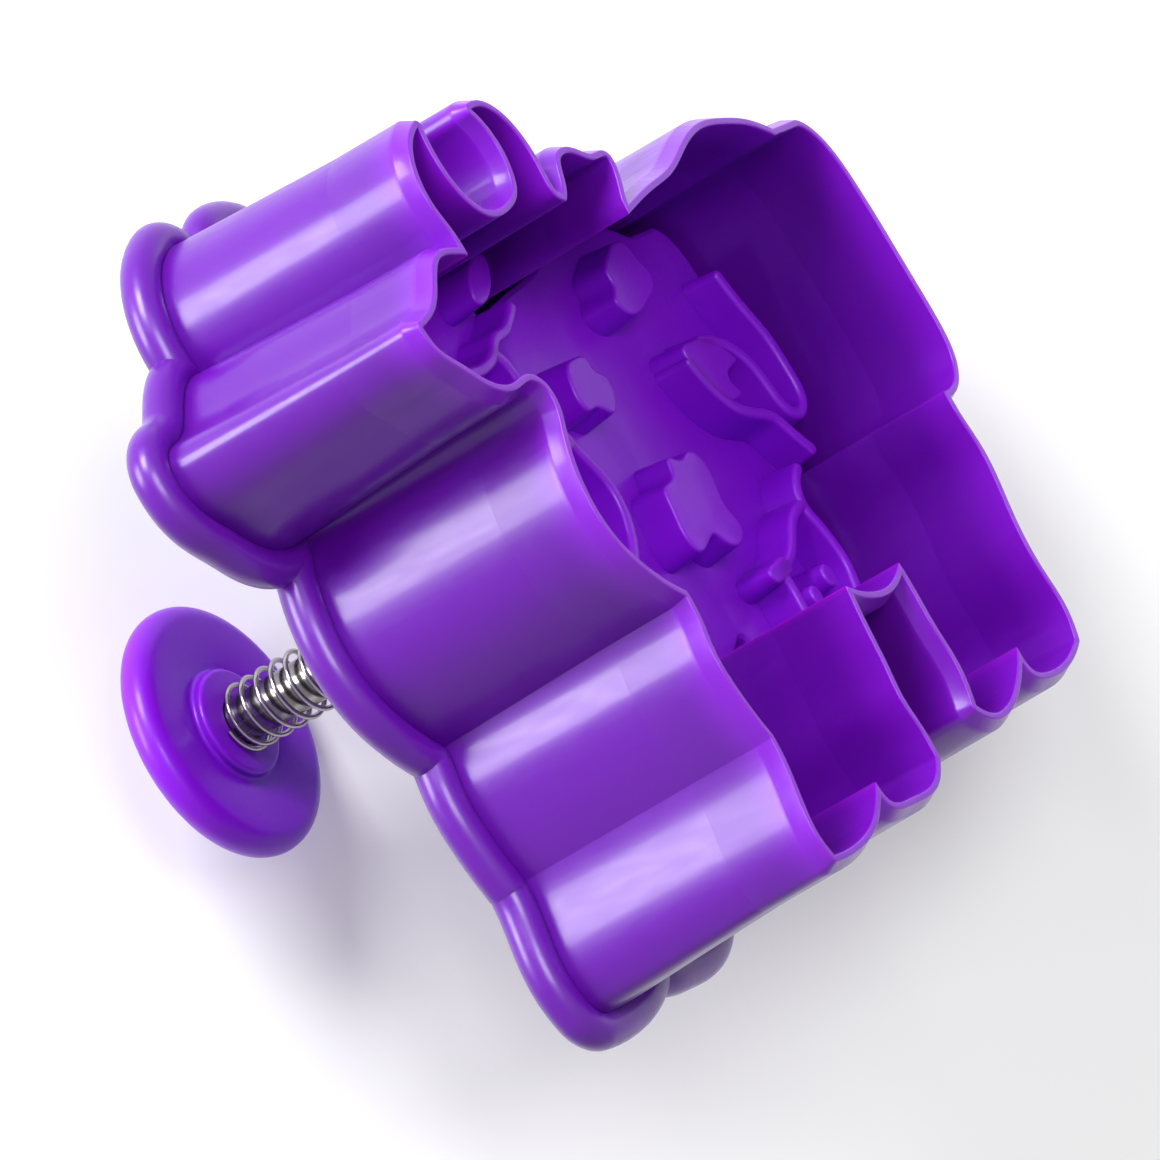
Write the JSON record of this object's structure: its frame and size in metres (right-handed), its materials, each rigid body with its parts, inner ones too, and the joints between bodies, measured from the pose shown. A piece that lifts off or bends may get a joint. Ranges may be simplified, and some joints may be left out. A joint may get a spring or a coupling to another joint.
{
  "type": "plunger cutter",
  "caption": "Cow-shaped plunger cutter for dough and icing: a cutting shell with a sprung stamp plate that presses raised lines and patches, then ejects the cut shape.",
  "frame": {"origin": "middle of the footprint, on the plane of the cutting edge", "axes": "+Z from the cutting edge to the push knob, +Y from the cow's hooves to its horns, +X towards the cow's head"},
  "size_m": [0.0783, 0.075, 0.0588],
  "materials": {
    "shell_plastic": "satin gloss, slightly translucent where the wall is thin",
    "plunger_plastic": "satin gloss with a fine grain",
    "pin_steel": "smooth drawn steel",
    "spring_steel": "bright spring wire"
  },
  "bodies": {
    "cutter": {"cutter_shell": "shell_plastic", "return_spring": "spring_steel"},
    "plunger": {"stamp_plate": "plunger_plastic", "plunger_pin": "pin_steel", "push_knob": "plunger_plastic"}
  },
  "joints": [
    {"name": "plunger_slide", "type": "slide", "parent": "cutter", "child": "plunger", "axis": [0, 0, -1], "range_m": [0, 0.0125], "stiffness_N_per_m": 157, "springref_m": -0.01, "deforming": ["return_spring"]}
  ]
}
